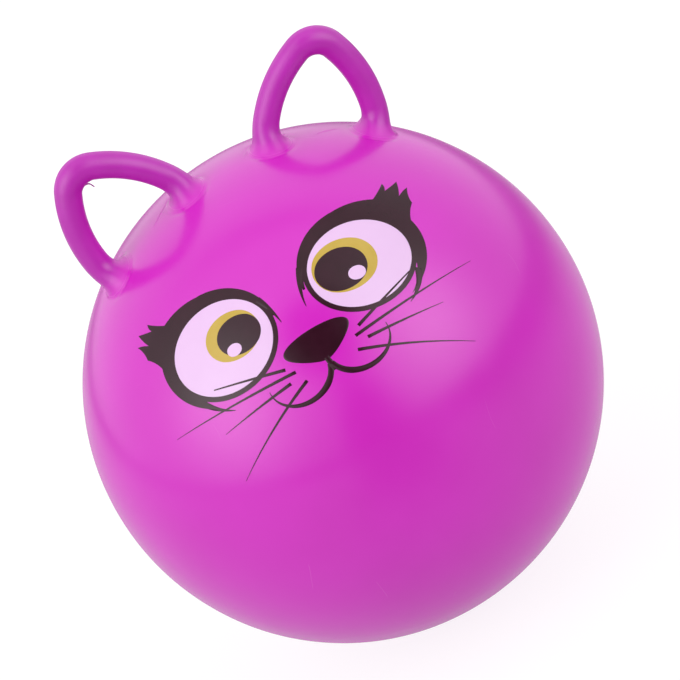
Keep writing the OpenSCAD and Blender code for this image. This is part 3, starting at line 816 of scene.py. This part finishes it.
def soft_vinyl(name):
    """Magenta vinyl: paler on the ball, deeper and duller on the thick ears, with cloudy gloss, a few thin
    scuffs and a fine orange-peel surface."""
    f = Finish(name)
    middle = (0, 0, CENTRE_Z)
    from_centre = f.node("VectorMath", {0: f.place, 1: middle}, operation="DISTANCE").outputs["Value"]

    def above(low, high):
        share = f.node("MapRange", {"Value": from_centre, "From Min": BALL_R + low,
                                    "From Max": BALL_R + high}, interpolation_type="SMOOTHSTEP")
        return share.outputs["Result"]

    skin = f.mix(above(*COLOUR_CHANGE), f.blotched(BALL_BLOTCHES, *BALL_COLOURS),
                 f.blotched(EAR_BLOTCHES, *EAR_COLOURS))
    # a scuff lies where a slow noise crosses its middle and another one lets it through
    slow = f.noise(*SCUFF_LINES)
    crossing = f.node("Math", {0: slow, 1: NOISE_MIDDLE}, operation="SUBTRACT").outputs[0]
    off_line = f.node("Math", {0: crossing}, operation="ABSOLUTE").outputs[0]
    line = f.span(off_line, 0, SCUFF_W, SCUFF_SHARE, 0)
    let_through = f.span(f.noise(*SCUFF_GATE), *SCUFF_SPAN, 0, 1)
    scuffs = f.node("Math", {0: line, 1: let_through}, operation="MULTIPLY").outputs[0]
    f.set("Base Color", f.mix(scuffs, skin, linear(*SCUFF_COLOUR)))
    mottle = f.noise(*GLOSS_BLOTCHES)
    rough = f.node("Mix", {0: above(*GLOSS_CHANGE), 2: f.span(mottle, *NOISE_SPAN, *BALL_ROUGH),
                           3: f.span(mottle, *NOISE_SPAN, *EAR_ROUGH)})
    f.set("Roughness", rough.outputs[0])
    f.set("IOR", GLOSS)
    f.grain(*VINYL_GRAIN)
    return f.material


def blotched_finish(name, colours, rough, blotches, grain):
    """A nearly even colour and gloss, each with slow blotches, over a fine grain."""
    f = Finish(name)
    f.set("Base Color", f.blotched(blotches[0], *colours))
    f.set("Roughness", f.span(f.noise(*blotches[1]), *NOISE_SPAN, *rough))
    f.grain(*grain)
    return f


def printing_ink(name, colours, rough):
    """Ink on vinyl, with a softer gloss than the skin."""
    f = blotched_finish(name, colours, rough, INK_BLOTCHES, INK_GRAIN)
    f.set("IOR", INK_GLOSS)
    return f.material


def moulded_plastic(name, colours, rough):
    """Plain moulded plastic with faint rubbed patches."""
    return blotched_finish(name, colours, rough, PLASTIC_BLOTCHES, PLASTIC_GRAIN).material


# The camera, as fitted to the ball's outline and the ears: its turn, its rise, its roll, its distance, how
# far it aims beside the ball's centre, the picture's width and the focal length in pixels, the width of its
# sensor in millimetres, and how far it sees
CAMERA_TURN = math.radians(-3.87)
CAMERA_RISE = math.radians(24.64)
CAMERA_ROLL = math.radians(28.28)
CAMERA_BALL_RADII = 9.0
CAMERA_AIM = (0.001327, 0.017899)
PHOTO_W = 680
FOCAL_PX = 2335.4
SENSOR_W = 36.0
CAMERA_REACH = 50.0

# The studio: how bright the room is behind the ball and behind the camera, and the cosines of the turn from
# the camera between which it changes
ROOM_BACK = 0.95
ROOM_FRONT = 0.45
ROOM_TURN = (-0.7, 0.5)
# The floor: half its size, its grey, its roughness, and how much it glows to the camera
FLOOR_HALF = 6.0
FLOOR_GREY = 0.22
FLOOR_ROUGH = 0.9
FLOOR_GLOW = 0.83
# The glow that the ball sees in the floor: its middle, where it starts to fade and is over, and its strength
SHEET_PLACE = (-1.1, 0.1)
SHEET_REACH = (1.5, 2.6)
SHEET_GLOW = 0.46
# The dark patch on the floor in front of the ball: its place, how much it is stretched towards the camera,
# and the distances across it at which it is full and over
SHADE_PLACE = (0.02, -1.6)
SHADE_STRETCH = 0.35
SHADE_REACH = (0.24, 0.52)
SHADE_LIGHT = 0.1
# Each soft light of the room: its direction from the ball as right, up and towards the camera, how quickly
# it fades round that direction, and its radiance in the middle
SOFT_LIGHTS = (
    ((-0.76, -0.14, 0.63), 9.5, 2.65),
    ((0.57, 0.42, 0.71), 11.0, 2.3),
    ((-0.32, 0.82, 0.47), 2.5, 0.42),
    ((0.85, 0.0, 0.3), 2.5, 0.25),
)
# The dark gap between the lights: two directions on its left edge and two on its right, how soft its edges
# are, and how much of the light is left in it
GAP_LEFT = ((-0.047, -0.086, 0.995), (0.135, -0.804, 0.578))
GAP_RIGHT = ((0.152, 0.113, 0.980), (0.675, -0.481, 0.557))
GAP_EDGE = (0.05, 0.16)
GAP_LIGHT = 0.12
# The dark round the camera itself: its direction, the turns at which it starts and is full, and its share
HEAD = (-0.17, 0.36, 0.917)
HEAD_TURN = (0.38, 0.20)
HEAD_DARK = 0.93
# A bar over the left light: its two ends, its half width, how it fades along, and how much it takes away
BAR = ((-0.679, 0.728, 0.09), (-0.237, 0.953, 0.18))
BAR_W = 0.09
BAR_FADE = 7.0
BAR_DARK = 0.6


def camera_axes():
    """The camera's right, up and backward directions."""
    back = np.array([math.sin(CAMERA_TURN) * math.cos(CAMERA_RISE),
                     -math.cos(CAMERA_TURN) * math.cos(CAMERA_RISE), math.sin(CAMERA_RISE)])
    level = unit(np.cross(-back, np.array([0, 0, 1.0])))
    upright = np.cross(back, level)
    c, s = math.cos(CAMERA_ROLL), math.sin(CAMERA_ROLL)
    return c * level - s * upright, s * level + c * upright, back


def placed(x, y, z, origin):
    """The matrix of an object whose own axes and origin are given in the frame."""
    return Matrix([[*row] for row in np.stack([x, y, z, origin], 1).tolist()] + [[0, 0, 0, 1]])


def make_camera():
    """The camera at the photograph's angle and distance."""
    right, up, back = camera_axes()
    data = bpy.data.cameras.new("camera")
    data.lens = FOCAL_PX * SENSOR_W / PHOTO_W
    data.sensor_width = SENSOR_W
    data.clip_end = CAMERA_REACH
    camera = bpy.data.objects.new("camera", data)
    aim = -back + CAMERA_AIM[0] * right - CAMERA_AIM[1] * up
    place = CENTRE - CAMERA_BALL_RADII * BALL_R * aim
    camera.matrix_world = placed(right, up, back, place)
    bpy.context.scene.collection.objects.link(camera)
    bpy.context.scene.camera = camera


def make_studio():
    """White surroundings, brighter in four soft lights. Each light fades with the exponential of the turn's
    cosine away from its middle. A dark gap, the dark round the camera and a bar take light away again."""
    world = bpy.data.worlds.new("studio")
    bpy.context.scene.world = world
    world.use_nodes = True
    tree = world.node_tree
    background = tree.nodes["Background"]
    background.inputs["Color"].default_value = (1, 1, 1, 1)
    axes = np.array(camera_axes())
    way = tree.nodes.new("ShaderNodeTexCoord").outputs["Generated"]

    def made(kind, inputs, **settings):
        return add_node(tree, kind, inputs, **settings).outputs

    def toward(direction):
        aim = unit(np.array(direction) @ axes)
        return made("VectorMath", {0: way, 1: aim.tolist()}, operation="DOT_PRODUCT")["Value"]

    def lobe(direction, fade):
        fall = made("Math", {0: toward(direction), 1: fade, 2: -fade}, operation="MULTIPLY_ADD")[0]
        return made("Math", {0: fall}, operation="EXPONENT")[0]

    room = made("MapRange", {"Value": toward((0, 0, 1)), "From Min": ROOM_TURN[0], "From Max": ROOM_TURN[1],
                             "To Min": ROOM_BACK, "To Max": ROOM_FRONT},
                interpolation_type="SMOOTHSTEP")["Result"]
    for direction, fade, radiance in SOFT_LIGHTS:
        room = made("Math", {0: lobe(direction, fade), 1: radiance, 2: room}, operation="MULTIPLY_ADD")[0]
    inside = 1.0
    for edge, soft, turn in ((GAP_LEFT, GAP_EDGE[0], 1), (GAP_RIGHT, GAP_EDGE[1], -1)):
        beside = toward(turn * np.cross(*np.array(edge)))
        share = made("MapRange", {"Value": beside, "From Min": -soft, "From Max": soft},
                     interpolation_type="SMOOTHSTEP")["Result"]
        inside = made("Math", {0: share, 1: inside}, operation="MULTIPLY")[0]
    kept = made("Math", {0: inside, 1: GAP_LIGHT - 1, 2: 1.0}, operation="MULTIPLY_ADD")[0]
    room = made("Math", {0: room, 1: kept}, operation="MULTIPLY")[0]
    head = made("MapRange", {"Value": toward(HEAD), "From Min": math.cos(HEAD_TURN[0]),
                             "From Max": math.cos(HEAD_TURN[1]), "To Min": 1.0, "To Max": 1 - HEAD_DARK},
                interpolation_type="SMOOTHSTEP")["Result"]
    room = made("Math", {0: room, 1: head}, operation="MULTIPLY")[0]
    off_bar = made("Math", {0: toward(np.cross(*np.array(BAR))), 1: BAR_W}, operation="DIVIDE")[0]
    spread_of_bar = made("Math", {0: off_bar, 1: off_bar}, operation="MULTIPLY")[0]
    along_bar = made("Math", {0: toward(np.sum(BAR, 0)), 1: BAR_FADE, 2: -BAR_FADE},
                     operation="MULTIPLY_ADD")[0]
    fall = made("Math", {0: along_bar, 1: spread_of_bar}, operation="SUBTRACT")[0]
    bar = made("Math", {0: made("Math", {0: fall}, operation="EXPONENT")[0], 1: -BAR_DARK, 2: 1.0},
               operation="MULTIPLY_ADD")[0]
    room = made("Math", {0: room, 1: bar}, operation="MULTIPLY")[0]
    seen = tree.nodes.new("ShaderNodeLightPath").outputs["Is Camera Ray"]
    tree.links.new(made("Mix", {0: seen, 2: room, 3: 1.0})[0], background.inputs["Strength"])


def make_floor():
    """The pale floor. The camera sees it glow evenly, and the ball sees a soft sheet of light on it, less
    the dark patch in front."""
    h = FLOOR_HALF
    mesh = bpy.data.meshes.new("floor")
    mesh.from_pydata([(-h, -h, 0), (h, -h, 0), (h, h, 0), (-h, h, 0)], [], [(0, 1, 2, 3)])
    floor = bpy.data.objects.new("floor", mesh)
    bpy.context.scene.collection.objects.link(floor)
    f = Finish("pale_floor")
    f.set("Base Color", (FLOOR_GREY, FLOOR_GREY, FLOOR_GREY, 1))
    f.set("Roughness", FLOOR_ROUGH)
    f.set("Specular IOR Level", 0.0)
    seen = f.tree.nodes.new("ShaderNodeLightPath").outputs["Is Camera Ray"]
    away = f.node("VectorMath", {0: f.place, 1: (*SHEET_PLACE, 0)}, operation="DISTANCE").outputs["Value"]
    sheet = f.node("MapRange", {"Value": away, "From Min": SHEET_REACH[0], "From Max": SHEET_REACH[1],
                                "To Min": SHEET_GLOW, "To Max": 0}, interpolation_type="SMOOTHSTEP")
    drawn_in = f.node("VectorMath", {0: f.place, 1: (1, SHADE_STRETCH, 0)}, operation="MULTIPLY").outputs[0]
    middle = (SHADE_PLACE[0], SHADE_PLACE[1] * SHADE_STRETCH, 0)
    from_shade = f.node("VectorMath", {0: drawn_in, 1: middle}, operation="DISTANCE").outputs["Value"]
    shade = f.node("MapRange", {"Value": from_shade, "From Min": SHADE_REACH[0], "From Max": SHADE_REACH[1],
                                "To Min": SHADE_LIGHT, "To Max": 1}, interpolation_type="SMOOTHSTEP")
    lit = f.node("Math", {0: sheet.outputs["Result"], 1: shade.outputs["Result"]}, operation="MULTIPLY")
    glow = f.node("Mix", {0: seen, 2: lit.outputs[0], 3: FLOOR_GLOW})
    f.set("Emission Color", (1, 1, 1, 1))
    f.set("Emission Strength", glow.outputs[0])
    mesh.materials.append(f.material)


make_camera()
make_studio()
make_floor()

vinyl = soft_vinyl("soft_magenta_vinyl")
make_ball(vinyl)
make_ear("left_ear", -1, "left_ear_handle", vinyl)
make_ear("right_ear", 1, "right_ear_handle", vinyl)
for seam_name, seam_places in SEAMS:
    make_seam(seam_name, seam_places, vinyl)
make_curl(vinyl)
make_face(
    printing_ink("black_ink", BLACK_COLOURS, BLACK_ROUGH),
    printing_ink("lilac_ink", LILAC_COLOURS, PALE_ROUGH),
    printing_ink("gold_ink", GOLD_COLOURS, PALE_ROUGH),
)
for node, finish in (
    ("valve_seat", moulded_plastic("seat_vinyl", SEAT_COLOURS, SEAT_ROUGH)),
    ("valve_plug", moulded_plastic("plug_plastic", PLUG_COLOURS, PLUG_ROUGH)),
):
    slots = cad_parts[node].data.materials
    slots.clear()
    slots.append(finish)

view = bpy.context.scene.view_settings
view.view_transform = "Standard"
